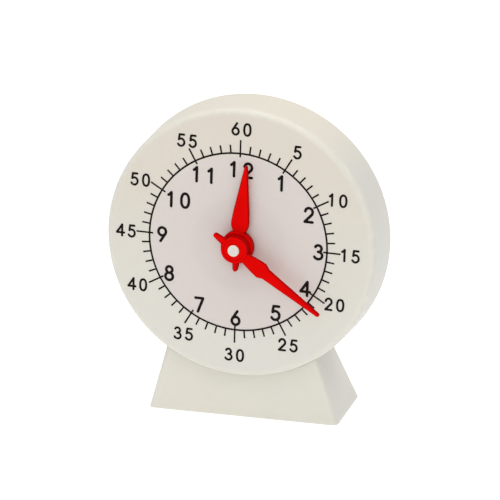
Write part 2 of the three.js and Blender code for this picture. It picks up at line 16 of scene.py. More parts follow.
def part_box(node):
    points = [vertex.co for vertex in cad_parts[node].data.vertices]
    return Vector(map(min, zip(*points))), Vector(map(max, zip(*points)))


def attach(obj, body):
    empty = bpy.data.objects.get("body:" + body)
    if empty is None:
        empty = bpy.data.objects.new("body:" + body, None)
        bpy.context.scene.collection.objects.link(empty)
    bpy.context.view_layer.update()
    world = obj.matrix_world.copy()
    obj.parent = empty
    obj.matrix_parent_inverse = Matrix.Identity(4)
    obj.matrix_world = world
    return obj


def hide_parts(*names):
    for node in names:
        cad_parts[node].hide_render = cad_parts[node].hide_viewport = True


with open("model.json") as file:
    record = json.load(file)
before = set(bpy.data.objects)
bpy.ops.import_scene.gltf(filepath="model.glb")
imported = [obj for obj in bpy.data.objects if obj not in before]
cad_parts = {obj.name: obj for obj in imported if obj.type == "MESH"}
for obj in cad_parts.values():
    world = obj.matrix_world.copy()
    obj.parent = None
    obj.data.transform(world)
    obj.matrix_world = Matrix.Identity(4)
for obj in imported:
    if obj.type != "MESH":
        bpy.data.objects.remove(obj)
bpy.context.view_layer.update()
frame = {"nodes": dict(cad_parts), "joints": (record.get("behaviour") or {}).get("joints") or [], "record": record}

MM = 0.001
RECORD = frame["record"]
BODY_OF = {n: body for body, nodes in RECORD["behaviour"]["bodies"].items() for n in nodes}
SLOT_OF = {part["node"]: part["material_slot"] for part in RECORD["subparts"]}
HAND_AXIS = next(j for j in frame["joints"] if j["name"] == "minute_spin")["pos_m"]
DIAL_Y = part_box("front_case")[0].y
ORIGIN = Vector((HAND_AXIS[0], DIAL_Y, HAND_AXIS[2]))

# ---- Camera ----

CAMERA_AIM = ORIGIN + Vector((0.0040, 0, -0.0015))
CAMERA_AZIMUTH = math.radians(15.84)
CAMERA_ELEVATION = math.radians(17.14)
CAMERA_DISTANCE = 0.9693
CAMERA_LENS = 197.2  # millimetres, as is the sensor's width
CAMERA_SENSOR = 36
CAMERA_NEAR = 0.01


def towards(azimuth, elevation):
    """The direction from the object to an onlooker: azimuth 0 is in front of the dial."""
    flat = math.cos(elevation)
    return Vector((math.sin(azimuth) * flat, -math.cos(azimuth) * flat, math.sin(elevation)))


def make_camera():
    data = bpy.data.cameras.new("camera")
    data.lens = CAMERA_LENS
    data.sensor_width = CAMERA_SENSOR
    data.clip_start = CAMERA_NEAR
    camera = bpy.data.objects.new("camera", data)
    back = towards(CAMERA_AZIMUTH, CAMERA_ELEVATION)
    camera.location = CAMERA_AIM + CAMERA_DISTANCE * back
    camera.rotation_euler = (-back).to_track_quat("-Z", "Y").to_euler()
    bpy.context.scene.collection.objects.link(camera)
    bpy.context.scene.camera = camera


make_camera()

# ---- Sizes, in millimetres, as in the CAD ----

GAP = 0.3  # the usual clearance between two parts
CASE_RADIUS = 50.4  # at the back
CASE_FRONT_RADIUS = 49.4
CASE_INNER_RADIUS = 47.2
CASE_DEPTH = 21.4
CASE_EDGE = 2  # the radius of the drum's edge at the back
CASE_FRONT_EDGE = 2.6  # and at the front
DIAL_THICKNESS = 2.2
DIAL_BOSS_RADIUS = 7
DIAL_BOSS_BACK = 3
ARBOR_HOLE = 2.1
PIPE_HOLE = 3.7
STAND_HEIGHT = 24.2
STAND_HORN = 0.8  # the thin tops of the stand's sides, which run up against the drum
STAND_WALL = 2
STAND_CORNER = 2.2
STAND_CAVITY_TOP = 20
STAND_FOOT = {"half_width": 35.5, "front": 3.5, "back": 37}
STAND_HEAD = {"half_width": 28.2, "front": 1.9, "back": 25.3}
CONTACT = 0.04  # the drum sits this close to its cradle
FLOOR = -ORIGIN.z / MM
HOUR_HAND = {
    "front": -3, "back": -1.4, "length": 29.9, "tip": 0.6, "swell": 3.3, "swell_at": 9,
    "shoulder": 2.95, "shoulder_at": 12.5, "hub": 5.9, "hub_front": -3.3, "hub_back": -0.7,
    "bore": PIPE_HOLE, "angle": 6.2,
}
MINUTE_HAND = {
    "front": -6.8, "back": -5.4, "length": 37.8, "tip": 0.75, "swell": 3.05, "swell_at": 12.2,
    "shoulder": 2.15, "shoulder_at": 14, "hub": 4.8, "hub_front": -7, "hub_back": -3.9,
    "bore": 1.7, "angle": 125.3,
}
HAND_NECK = 1.9
HAND_FLARE = 2.5
HAND_TAIL = {"length": 9.2, "root": 2, "tip": 1}
CAP_RADIUS = 2.1
CAP_FRONT = -8
CAP_BACK = -7.2
COVER_FRONT = 19.4
COVER_RADIUS = 46.9
COVER_SEAT = 20.4  # of the screw heads
COVER_BACK = 21.9
COLLAR_RADIUS = 5.5
KNOB_FRONT = 22.3
KNOB_BACK = 31.4
KNOB_RADIUS = 8
KNOB_FLUTES = 24
FLUTE_DEPTH = 0.35
KNOB_WEB = 27.4
KNOB_SEAT = 29.6
IDLER_Z = 20
POSTS = ((0, -21.5), (19.5, 30), (-19.5, 30))
POST_RADIUS = 3
POST_BACK = 11.9
BRIDGE_BACK = 14.2
COVER_SCREW_CIRCLE = 42.8
COVER_SCREW_ANGLES = (90, 210, 330)
COVER_BOSS_RADIUS = 3.4
STAND_SCREW_X = (-12, 12)
STAND_SCREW_DEPTH = 12
STAND_BOSS_RADIUS = 4
STAND_BOSS_BOTTOM = 12  # above the floor
PILOT_GAP = 0.15  # between a screw's shank and its pilot hole
SCREW_SEAT_GAP = 0.05
COVER_SCREW = {"head": 2.5, "height": 1.4, "shank": 1.05, "length": 11}
BRIDGE_SCREW = {"head": 2.2, "height": 1.3, "shank": 0.9, "length": 8}
STAND_SCREW = {"head": 2.6, "height": 1.6, "shank": 1.1, "length": 12.2}
KNOB_SCREW = {"head": 2.5, "height": 1.4, "shank": 1, "length": 7}

# ---- Materials ----


class Graph:
    """The node tree of one material. An input takes a value or another node's output."""

    def __init__(self, name):
        self.material = bpy.data.materials.new(name)
        self.material.use_nodes = True
        self.tree = self.material.node_tree
        self.shader = self.tree.nodes.get("Principled BSDF")
        self.place = self.node("ShaderNodeTexCoord").outputs["Object"]

    def put(self, socket, value):
        if isinstance(value, bpy.types.NodeSocket):
            self.tree.links.new(value, socket)
        elif isinstance(value, tuple) and len(value) == 3 and socket.type == "RGBA":
            socket.default_value = (*value, 1)
        else:
            socket.default_value = value

    def node(self, kind, inputs=None, **settings):
        node = self.tree.nodes.new(kind)
        for key, value in settings.items():
            setattr(node, key, value)
        for key, value in (inputs or {}).items():
            self.put(node.inputs[key], value)
        return node

    def surface(self, **inputs):
        for key, value in inputs.items():
            self.put(self.shader.inputs[key.replace("_", " ")], value)

    def maths(self, operation, first, second=0.0, clamp=False):
        inputs = {0: first, 1: second}
        return self.node("ShaderNodeMath", inputs, operation=operation, use_clamp=clamp).outputs[0]

    def noise(self, scale, detail=3.0, roughness=0.5, place=None):
        inputs = {"Scale": scale, "Detail": detail, "Roughness": roughness}
        inputs["Vector"] = place or self.place
        return self.node("ShaderNodeTexNoise", inputs).outputs["Fac"]

    def fade(self, value, start, end, low=0.0, high=1.0):
        """low where value is at start, high at end, with a smooth passage between them."""
        inputs = {"Value": value, "From Min": start, "From Max": end, "To Min": low, "To Max": high}
        return self.node("ShaderNodeMapRange", inputs, interpolation_type="SMOOTHSTEP").outputs[0]

    def mix(self, share, first, second):
        """The first colour where share is 0 and the second where it is 1."""
        node = self.node("ShaderNodeMix", data_type="RGBA")
        self.put(node.inputs[0], share)
        self.put(node.inputs[6], first)
        self.put(node.inputs[7], second)
        return node.outputs[2]

    def axes(self):
        parts = self.node("ShaderNodeSeparateXYZ", {"Vector": self.place})
        return parts.outputs["X"], parts.outputs["Y"], parts.outputs["Z"]

    def bump(self, height, distance, strength, normal=None):
        inputs = {"Height": height, "Distance": distance, "Strength": strength}
        if normal:
            inputs["Normal"] = normal
        return self.node("ShaderNodeBump", inputs).outputs["Normal"]

    def wear(self, low, high):
        """Patches on convex edges, which handling polishes and lightens."""
        pointiness = self.node("ShaderNodeNewGeometry").outputs["Pointiness"]
        patchy = self.noise(260, 4, 0.7)
        return self.maths("MULTIPLY", self.fade(pointiness, low, high), patchy)

    def direction(self, axis):
        """The surface normal's part along one axis of the piece."""
        normal = self.node("ShaderNodeTexCoord").outputs["Normal"]
        return self.node("ShaderNodeSeparateXYZ", {"Vector": normal}).outputs[axis]

    def facing(self):
        """How much the surface faces sideways and how much it faces up, from 0 to 1: the masks of the painted side
        shade and top light.
        """
        sideways = self.maths("ABSOLUTE", self.direction("X"))
        return self.fade(sideways, 0.3, 0.95), self.fade(self.direction("Z"), 0.45, 0.95)

    def flank(self):
        """0 where the surface faces the front or the back and 1 where it faces sideways: the mask of the painted
        flank shade.
        """
        return self.fade(self.maths("ABSOLUTE", self.direction("Y")), 0.93, 0.7)

    def radius(self):
        """The distance from the hands' axis, for a piece that turns around it or is round it."""
        x, _, z = self.axes()
        flat = self.node("ShaderNodeCombineXYZ", {"X": x, "Z": z}).outputs[0]
        return self.node("ShaderNodeVectorMath", {0: flat}, operation="LENGTH").outputs["Value"]


TRACK_RADIUS = 32.7  # of the printed minute line
WHEEL_SHADOW = 17.3  # radius of the hour wheel behind the dial, whose faint shadow is painted on the dial

# Colours, as linear red, green and blue.
BODY_WHITE = (0.72, 0.695, 0.61)
BODY_SHADE = (0.69, 0.675, 0.60)
SIDE_PAINTED_SHADE = (0.652, 0.638, 0.585)  # painted shade: greyer where the surface faces sideways
TOP_WARM_PAINTED_LIGHT = (0.725, 0.68, 0.58)  # painted warm light, where it faces up
FACE_HIGH = (0.695, 0.64, 0.56)  # the dial, from its top
FACE_LOW = (0.70, 0.69, 0.63)  # to its bottom
DIAL_MIDDLE = (0.68, 0.62, 0.585)  # the dial inside the minute line is pinker
WHEEL_SHADOW_TINT = (0.52, 0.47, 0.45)
WORN_WHITE = (0.75, 0.73, 0.66)  # along rubbed edges
RED_DEEP = (0.68, 0.0006, 0.0003)
RED_BRIGHT = (0.79, 0.0012, 0.0006)
# painted shade on the hands' flanks
RED_FLANK_SHADE = (0.40, 0.001, 0.001)
INK_DENSE = (0.006, 0.003, 0.002)
INK_THIN = (0.014, 0.009, 0.007)
GEAR_SHADE = (0.60, 0.53, 0.46)
GEAR_IVORY = (0.68, 0.61, 0.53)
ZINC_COOL = (0.58, 0.59, 0.61)
ZINC_WARM = (0.70, 0.69, 0.65)
FIBRE_DARK = (0.16, 0.155, 0.15)
FIBRE_PALE = (0.30, 0.29, 0.28)


def plastic_finish(graph, colour, roughness=0.44, grain=2600):
    """Moulded polypropylene: milky in depth, with flow marks and a fine satin grain."""
    flow = graph.noise(38, 3, 0.55)
    grainy = graph.noise(grain, 2, 0.5)
    scuffs = graph.noise(420, 5, 0.75)
    marks = graph.maths("ADD", flow, scuffs)
    soft = graph.bump(flow, 0.0004, 0.10)
    graph.surface(
        Base_Color=colour,
        Roughness=graph.fade(marks, 0.7, 1.35, roughness - 0.05, roughness + 0.09),
        IOR=1.49,
        Subsurface_Weight=0.22,
        Subsurface_Radius=(1.0, 0.85, 0.62),
        Subsurface_Scale=0.0022,
        Normal=graph.bump(grainy, 0.00003, 0.35, soft),
    )
    return graph.material


def clouds(graph, scale):
    """Soft patches, from 0 to 1, as the plastic's colour drifts in moulding."""
    return graph.fade(graph.noise(scale, 4, 0.6), 0.3, 0.7)


def rubbing(graph, scale, most):
    """Uneven patches for worn places, up to a given strength."""
    return graph.fade(graph.noise(scale, 4, 0.7), 0.35, 0.75, 0, most)


def milky_body(graph):
    """The white plastic's colour: cloudy, with painted shade where it faces sideways and painted warm light where
    it faces up.
    """
    cloudy = graph.mix(clouds(graph, 24), BODY_SHADE, BODY_WHITE)
    sideways, up = graph.facing()
    return graph.mix(up, graph.mix(sideways, cloudy, SIDE_PAINTED_SHADE), TOP_WARM_PAINTED_LIGHT)


def milky_plastic():
    """The white plastic, polished and lightened along its convex edges."""
    graph = Graph("milky_plastic")
    worn = graph.mix(graph.wear(0.52, 0.6), milky_body(graph), WORN_WHITE)
    return plastic_finish(graph, worn)


def cover_plastic():
    """The cover's plastic, rubbed lighter at its rim and around the knob."""
    graph = Graph("cover_plastic")
    radius = graph.radius()
    rim = graph.fade(radius, (COVER_RADIUS - 0.9) * MM, (COVER_RADIUS - 0.3) * MM)
    around_knob = graph.fade(radius, (KNOB_RADIUS + 4) * MM, (KNOB_RADIUS - 1) * MM, 0, 0.5)
    rubbed = graph.maths("ADD", rim, around_knob, clamp=True)
    worn = graph.maths("MULTIPLY", rubbed, rubbing(graph, 180, 0.8))
    return plastic_finish(graph, graph.mix(worn, milky_body(graph), WORN_WHITE))


def dial_plastic():
    """The case's plastic, with the dial's warmer middle and a painted shadow of the hour wheel that lies behind
    it.
    """
    graph = Graph("dial_plastic")
    _, depth, z = graph.axes()
    radius = graph.radius()
    on_face = graph.fade(depth, 0.4 * MM, 0.1 * MM)

    # The dial is darker and browner towards its top.
    face_top_to_bottom = graph.mix(graph.fade(z, -45 * MM, 40 * MM), FACE_LOW, FACE_HIGH)
    cloudy = graph.mix(graph.maths("MULTIPLY", clouds(graph, 30), 0.35), face_top_to_bottom, BODY_WHITE)
    body = graph.mix(on_face, milky_body(graph), cloudy)

    middle = graph.fade(radius, (TRACK_RADIUS + 0.6) * MM, (TRACK_RADIUS - 0.8) * MM)
    tinted = graph.mix(graph.maths("MULTIPLY", on_face, middle), body, DIAL_MIDDLE)

    # A painted shadow of the hour wheel: a faint darker disc on the dial's face.
    blur = 1.4
    wheel = graph.fade(radius, (WHEEL_SHADOW + blur) * MM, (WHEEL_SHADOW - blur) * MM, 0, 0.12)
    with_wheel_shadow = graph.mix(graph.maths("MULTIPLY", on_face, wheel), tinted, WHEEL_SHADOW_TINT)

    # The radius less the depth is greatest on the front edge, and falls along the wall.
    near_edge = graph.maths("SUBTRACT", radius, depth)
    at_front = graph.fade(near_edge, 46.5 * MM, 48 * MM)
    at_back = graph.fade(depth, (CASE_DEPTH - 2.2) * MM, (CASE_DEPTH - 0.6) * MM)
    edges = graph.maths("ADD", at_front, at_back, clamp=True)
    worn = graph.maths("MULTIPLY", edges, rubbing(graph, 260, 0.6))
    return plastic_finish(graph, graph.mix(worn, with_wheel_shadow, WORN_WHITE))


def red_plastic():
    """The hands' red plastic, with painted shade that makes its flanks darker."""
    graph = Graph("red_plastic")
    body = graph.mix(clouds(graph, 90), RED_DEEP, RED_BRIGHT)
    soft = graph.bump(graph.noise(60, 3), 0.0003, 0.08)
    graph.surface(
        Base_Color=graph.mix(graph.flank(), body, RED_FLANK_SHADE),
        Roughness=graph.fade(graph.noise(500, 4, 0.7), 0.3, 0.7, 0.36, 0.48),
        Specular_IOR_Level=0.02,
        Normal=graph.bump(graph.noise(3000, 2), 0.00002, 0.3, soft),
    )
    return graph.material


def dial_ink():
    """Black pad-printed ink, thinner and duller in patches."""
    graph = Graph("dial_ink")
    thin = graph.fade(graph.noise(1500, 4, 0.7), 0.45, 0.75)
    graph.surface(
        Base_Color=graph.mix(thin, INK_DENSE, INK_THIN),
        Roughness=graph.fade(thin, 0, 1, 0.5, 0.7),
        Specular_IOR_Level=0.1,
        Normal=graph.bump(graph.noise(4000, 3), 0.00001, 0.4),
    )
    return graph.material


def gear_plastic():
    """The ivory plastic of the wheels inside the drum."""
    graph = Graph("gear_plastic")
    body = graph.mix(clouds(graph, 70), GEAR_SHADE, GEAR_IVORY)
    return plastic_finish(graph, body, roughness=0.42, grain=3200)


def steel():
    """Zinc-plated steel, with scratches that run along the depth."""
    graph = Graph("steel")
    stretched = graph.node("ShaderNodeMapping", {"Vector": graph.place, "Scale": (1, 0.15, 1)})
    scratches = graph.noise(2200, 4, 0.7, stretched.outputs[0])
    plating = graph.fade(graph.noise(300, 4, 0.6), 0.35, 0.7)
    graph.surface(
        Base_Color=graph.mix(plating, ZINC_COOL, ZINC_WARM),
        Metallic=1.0,
        Roughness=graph.fade(scratches, 0.3, 0.7, 0.22, 0.42),
        Normal=graph.bump(scratches, 0.00002, 0.3),
    )
    return graph.material


def fibre():
    """Grey fibre with its strands showing."""
    graph = Graph("fibre")
    strands = graph.noise(2600, 5, 0.8)
    graph.surface(
        Base_Color=graph.mix(graph.fade(strands, 0.35, 0.65), FIBRE_DARK, FIBRE_PALE),
        Roughness=graph.fade(strands, 0.3, 0.7, 0.7, 0.9),
        Normal=graph.bump(strands, 0.00004, 0.6),
    )
    return graph.material


# A material for each of the record's slots, by the same name.
MATERIALS = {
    build.__name__: build()
    for build in (milky_plastic, red_plastic, dial_ink, gear_plastic, steel, fibre)
}

for node_name, node_object in frame["nodes"].items():
    for material_slot in node_object.material_slots:
        material_slot.material = MATERIALS[SLOT_OF[node_name]]

# ---- Making pieces ----

SMOOTH_ANGLE = math.radians(32)


def apply_modifiers(piece):
    """Bakes a piece's modifiers into its mesh."""
    graph = bpy.context.evaluated_depsgraph_get()
    solid = bpy.data.meshes.new_from_object(piece.evaluated_get(graph))
    piece.modifiers.clear()
    piece.data = solid


def solid_object(mesh_builder, name="solid"):
    """A scene object made from a bmesh, which it frees."""
    bmesh.ops.recalc_face_normals(mesh_builder, faces=mesh_builder.faces)
    mesh = bpy.data.meshes.new(name)
    mesh_builder.to_mesh(mesh)
    mesh_builder.free()
    piece = bpy.data.objects.new(name, mesh)
    bpy.context.scene.collection.objects.link(piece)
    return piece


def boolean(operation, base, tools):
    """Changes base by each tool in turn, and removes the tools."""
    for tool in tools:
        modifier = base.modifiers.new(operation, "BOOLEAN")
        modifier.operation = operation
        modifier.solver = "EXACT"
        modifier.object = tool
    apply_modifiers(base)
    for tool in tools:
        bpy.data.objects.remove(tool)
    return base


def join(base, *tools):
    return boolean("UNION", base, tools)


def cut(base, *tools):
    return boolean("DIFFERENCE", base, tools)


def weld(mesh, distance=0.001):
    """Merges near-coincident points that cuts leave, drops strays and closes pinholes."""
    builder = bmesh.new()
    builder.from_mesh(mesh)
    bmesh.ops.remove_doubles(builder, verts=builder.verts, dist=distance)
    bmesh.ops.dissolve_degenerate(builder, edges=builder.edges, dist=distance / 2)
    stray = [edge for edge in builder.edges if not edge.link_faces]
    bmesh.ops.delete(builder, geom=stray, context="EDGES")
    loose = [point for point in builder.verts if not point.link_edges]
    bmesh.ops.delete(builder, geom=loose, context="VERTS")
    pinholes = [edge for edge in builder.edges if edge.is_boundary]
    bmesh.ops.holes_fill(builder, edges=pinholes, sides=0)
    builder.to_mesh(mesh)
    builder.free()


def make_piece(piece, name, node, slot=None, replaces=True, material=None):
    """Puts a drawn solid in place, with its body, material slot and finish."""
    piece.name = name
    mesh = piece.data
    mesh.name = name
    weld(mesh)
    mesh.transform(Matrix.Scale(MM, 4))
    piece.location = ORIGIN
    slot = slot or SLOT_OF[node]
    mesh.materials.clear()
    mesh.materials.append(material or MATERIALS[slot])
    mesh.polygons.foreach_set("use_smooth", [True] * len(mesh.polygons))
    mesh.set_sharp_from_angle(angle=SMOOTH_ANGLE)
    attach(piece, BODY_OF[node])
    if replaces:
        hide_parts(node)
    return piece


# ---- Outlines and turned solids ----


def rounded(corners, steps=6, closed=True, support=0.12):
    """A polyline through (a, b, radius) corners, each rounded by an arc of that radius.

    A support point just outside each end of an arc keeps the flat faces shaded flat.
    """
    points = []
    count = len(corners)
    for i, (a, b, radius) in enumerate(corners):
        corner = Vector((a, b))
        at_end = not closed and i in (0, count - 1)
        if radius == 0 or at_end:
            points.append(corner)
            continue
        before = Vector(corners[i - 1][:2]) - corner
        after = Vector(corners[(i + 1) % count][:2]) - corner
        half = before.angle(after) / 2
        reach = radius / math.tan(half)
        before.normalize()
        after.normalize()
        centre = corner + (before + after).normalized() * radius / math.sin(half)
        start = corner + before * reach - centre
        end = corner + after * reach - centre
        turn = math.atan2(start.cross(end), start.dot(end))
        points.append(corner + before * (reach + support))
        for step in range(steps + 1):
            points.append(centre + Matrix.Rotation(turn * step / steps, 2) @ start)
        points.append(corner + after * (reach + support))
    return points


def turned(profile, segments, radius_at=None, closed=True):
    """A (radius, depth) profile turned around the hands' axis.

    An open profile starts and ends on the axis. radius_at(radius, depth, angle) may
    change a point's radius around the turn.
    """
    builder = bmesh.new()
    poles = {}
    rings = []
    for segment in range(segments):
        angle = 2 * math.pi * segment / segments
        ring = []
        for i, (radius, depth) in enumerate(profile):
            if not closed and i in (0, len(profile) - 1):
                if i not in poles:
                    poles[i] = builder.verts.new((0, depth, 0))
                ring.append(poles[i])
                continue
            wide = radius_at(radius, depth, angle) if radius_at else radius
            ring.append(builder.verts.new((wide * math.cos(angle), depth, wide * math.sin(angle))))
        rings.append(ring)
    steps = len(profile) if closed else len(profile) - 1
    for segment in range(segments):
        here, there = rings[segment], rings[(segment + 1) % segments]
        for i in range(steps):
            j = (i + 1) % len(profile)
            corners = dict.fromkeys((here[i], here[j], there[j], there[i]))
            builder.faces.new(tuple(corners))
    return solid_object(builder)


def rod(radius, front, back, x=0.0, z=0.0, segments=50, edge=0.0):
    """A rod along the depth. edge is the radius of its back edge."""
    profile = [(0, front, 0), (radius, front, 0), (radius, back, edge), (0, back, 0)]
    piece = turned(rounded(profile, 4, closed=False, support=0.05), segments, closed=False)
    piece.data.transform(Matrix.Translation((x, 0, z)))
    return piece


def upright(radius, bottom, top, x, depth, segments=50):
    """A rod along z, with its ends measured from the hands' axis."""
    piece = rod(radius, bottom, top, segments=segments)
    piece.data.transform(Matrix.Rotation(math.pi / 2, 4, "X"))
    piece.data.transform(Matrix.Translation((x, depth, 0)))
    return piece


def thicken(builder, faces, thickness):
    """Extrudes flat faces backwards along the depth."""
    grown = bmesh.ops.extrude_face_region(builder, geom=faces)
    moved = [part for part in grown["geom"] if isinstance(part, bmesh.types.BMVert)]
    bmesh.ops.translate(builder, verts=moved, vec=(0, thickness, 0))


def prism(outline, front, back):
    """A flat outline of (x, z) points, as thick as the two depths say."""
    builder = bmesh.new()
    face = builder.faces.new([builder.verts.new((x, front, z)) for x, z in outline])
    thicken(builder, [face], back - front)
    return solid_object(builder)


def band(builder, here, there):
    """The faces between two rings with the same number of points."""
    for i in range(len(here)):
        j = (i + 1) % len(here)
        builder.faces.new((here[i], here[j], there[j], there[i]))


def polar(radius, degrees):
    """The x and z of a point at an angle that is counted from the right towards the top."""
    angle = math.radians(degrees)
    return radius * math.cos(angle), radius * math.sin(angle)


def arc(x, z, radius_x, radius_z, start, end, steps):
    """Points along an ellipse's arc, from one angle to another in degrees."""
    points = []
    for step in range(steps + 1):
        angle = math.radians(start + (end - start) * step / steps)
        points.append((x + radius_x * math.cos(angle), z + radius_z * math.sin(angle)))
    return points


# ---- Case ----

ROUND_STEPS = 256  # around the drum and whatever meets it
# Turns a solid by half a step, so that no edge of it runs through a screw's axis.
HALF_STEP = Matrix.Rotation(math.pi / ROUND_STEPS, 4, "Y")
# Steps around small holes. None is a multiple of four, nor is rod()'s own number, which
# keeps their corners off the edges of the faces that they cut.
PILOT_STEPS = 26
CLEARANCE_STEPS = 30
PIN_MARK_STEPS = 42


def make_case():
    """The drum: dial plate and wall, with bosses and ribs inside."""
    inner_ring, outer_ring = 15, 34  # rings across the dial that keep its faces short
    back_rounding = 0.09  # what the back edge's rounding takes off the drafted wall
    inner_draft = 0.2
    shell = turned(rounded([
        (PIPE_HOLE, 0, 0.25),
        (inner_ring, 0, 0),
        (outer_ring, 0, 0),
        (CASE_FRONT_RADIUS, 0, CASE_FRONT_EDGE),
        (CASE_RADIUS + back_rounding, CASE_DEPTH, CASE_EDGE),
        (CASE_INNER_RADIUS + inner_draft, CASE_DEPTH, 0.15),
        (CASE_INNER_RADIUS, DIAL_THICKNESS, 0.8),
        (DIAL_BOSS_RADIUS, DIAL_THICKNESS, 0.3),
        (DIAL_BOSS_RADIUS, DIAL_BOSS_BACK, 0.3),
        (PIPE_HOLE, DIAL_BOSS_BACK, 0.2),
    ], 8), ROUND_STEPS)
    shell.data.transform(HALF_STEP)

    sunk = 0.5  # bosses and ribs start this deep in the plate and the wall
    foot = DIAL_THICKNESS - sunk
    pin_boss_radius, pin_boss_height, pin_hole_radius = 3.5, 0.6, 1.6
    solids = [rod(pin_boss_radius, foot, DIAL_THICKNESS + pin_boss_height, z=IDLER_Z, edge=0.2)]
    holes = [rod(pin_hole_radius, 1, 4, z=IDLER_Z)]

    bridge_pilot = BRIDGE_SCREW["shank"] + PILOT_GAP
    bridge_pilot_depth = 9
    for x, z in POSTS:
        solids.append(rod(POST_RADIUS, foot, POST_BACK, x, z, edge=0.3))
        holes.append(rod(bridge_pilot, BRIDGE_BACK - bridge_pilot_depth, BRIDGE_BACK, x, z, PILOT_STEPS))

    cover_pilot = COVER_SCREW["shank"] + PILOT_GAP
    cover_pilot_depth = 11
    boss_back = COVER_FRONT - GAP
    rib_back = boss_back - 0.35
    half, inner, outer = 0.9, COVER_SCREW_CIRCLE, CASE_INNER_RADIUS + sunk
    for degrees in COVER_SCREW_ANGLES:
        x, z = polar(COVER_SCREW_CIRCLE, degrees)
        solids.append(rod(COVER_BOSS_RADIUS, foot, boss_back, x, z, edge=0.3))
        rib = prism([(inner, -half), (outer, -half), (outer, half), (inner, half)], foot, rib_back)
        rib.data.transform(Matrix.Rotation(-math.radians(degrees), 4, "Y"))
        solids.append(rib)
        holes.append(rod(cover_pilot, COVER_FRONT - cover_pilot_depth, CASE_DEPTH, x, z, PILOT_STEPS))

    stand_pilot = STAND_SCREW["shank"] + PILOT_GAP
    post_radius, post_top = 3.2, -40
    for x in STAND_SCREW_X:
        post = upright(post_radius, -CASE_RADIUS, post_top, x, STAND_SCREW_DEPTH)
        wall = rod(CASE_INNER_RADIUS + sunk, 0, CASE_DEPTH, segments=ROUND_STEPS)
        solids.append(boolean("INTERSECT", post, [wall]))
        pilot = (-CASE_RADIUS - 1, post_top - 1)
        holes.append(upright(stand_pilot, *pilot, x, STAND_SCREW_DEPTH, PILOT_STEPS))
    case = cut(join(shell, *solids), *holes)
    return make_piece(case, "case_moulding", "front_case", material=dial_plastic())


def make_cover():
    """The disc that closes the drum, with a shallow recess around a raised middle."""
    recess, inner, outer = 0.5, 9, 38
    cover = turned(rounded([
        (ARBOR_HOLE, COVER_FRONT, 0.15),
        (COVER_RADIUS, COVER_FRONT, 0.3),
        (COVER_RADIUS, CASE_DEPTH, 0.5),
        (outer, CASE_DEPTH, 0.3),
        (outer - recess, CASE_DEPTH - recess, 0.3),
        (inner + recess, CASE_DEPTH - recess, 0.3),
        (inner, CASE_DEPTH, 0.3),
        (COLLAR_RADIUS, CASE_DEPTH, 0.3),
        (COLLAR_RADIUS - 0.2, COVER_BACK, 0.25),
        (ARBOR_HOLE, COVER_BACK, 0.15),
    ]), ROUND_STEPS)
    cover.data.transform(HALF_STEP)
    beyond = CASE_DEPTH + 1
    holes = []
    for degrees in COVER_SCREW_ANGLES:
        x, z = polar(COVER_SCREW_CIRCLE, degrees)
        shank, head = COVER_SCREW["shank"] + GAP, COVER_SCREW["head"] + GAP
        holes.append(rod(shank, COVER_FRONT - 1, CASE_DEPTH, x, z, CLEARANCE_STEPS))
        holes.append(rod(head, COVER_SEAT, beyond, x, z))
    pin_mark_circle, pin_mark_angles = 26, (30, 150, 270)
    pin_mark, pin_mark_depth = 1.5, 0.12
    for degrees in pin_mark_angles:
        x, z = polar(pin_mark_circle, degrees)
        holes.append(rod(pin_mark, CASE_DEPTH - recess - pin_mark_depth, beyond, x, z, PIN_MARK_STEPS))
    return make_piece(cut(cover, *holes), "cover_moulding", "rear_cover", material=cover_plastic())


# ---- Stand ----


def stand_section(height, inset):
    """The stand's half width, front and back at a height above the floor."""
    share = height / STAND_HEIGHT
    foot, head = STAND_FOOT, STAND_HEAD
    size = {key: foot[key] + (head[key] - foot[key]) * share for key in foot}
    return size["half_width"] - inset, size["front"] + inset, size["back"] - inset


def tapered_block(bottom, top, inset, corner):
    """A block between two heights above the floor, whose sides follow the stand's taper."""
    low_half, low_front, low_back = stand_section(bottom, inset)
    high_half, high_front, high_back = stand_section(top, inset)
    x, front, back = low_half - corner, low_front + corner, low_back - corner
    outline = []
    for turn, (centre_x, centre_depth) in enumerate(((x, back), (-x, back), (-x, front), (x, front))):
        outline += arc(centre_x, centre_depth, corner, corner, 90 * turn, 90 * turn + 90, 8)
    builder = bmesh.new()
    lower, upper = [], []
    for px, depth in outline:
        along = (depth - low_front) / (low_back - low_front)
        high_x = px / low_half * high_half
        high_depth = high_front + along * (high_back - high_front)
        lower.append(builder.verts.new((px, depth, FLOOR + bottom)))
        upper.append(builder.verts.new((high_x, high_depth, FLOOR + top)))
    builder.faces.new(lower)
    builder.faces.new(upper)
    band(builder, lower, upper)
    return solid_object(builder)


def soften_edges(piece, width, steps, sharper_than=35, merge=0.12):
    """Rounds every edge sharper than an angle, after merging points that are very close."""
    builder = bmesh.new()
    builder.from_mesh(piece.data)
    bmesh.ops.remove_doubles(builder, verts=builder.verts, dist=merge)
    bmesh.ops.dissolve_degenerate(builder, edges=builder.edges, dist=merge / 2)
    builder.to_mesh(piece.data)
    builder.free()
    modifier = piece.modifiers.new("edges", "BEVEL")
    modifier.width = width
    modifier.segments = steps
    modifier.limit_method = "ANGLE"
    modifier.angle_limit = math.radians(sharper_than)
    modifier.use_clamp_overlap = True
    apply_modifiers(piece)


def drum_cone(clearance, front, back):
    """The drum's drafted outside, grown by a clearance, as a cutter."""
    draft = (CASE_RADIUS - CASE_FRONT_RADIUS) / CASE_DEPTH
    ends = [(CASE_FRONT_RADIUS + draft * depth + clearance, depth) for depth in (front, back)]
    return turned([(0, front), *ends, (0, back)], ROUND_STEPS, closed=False)


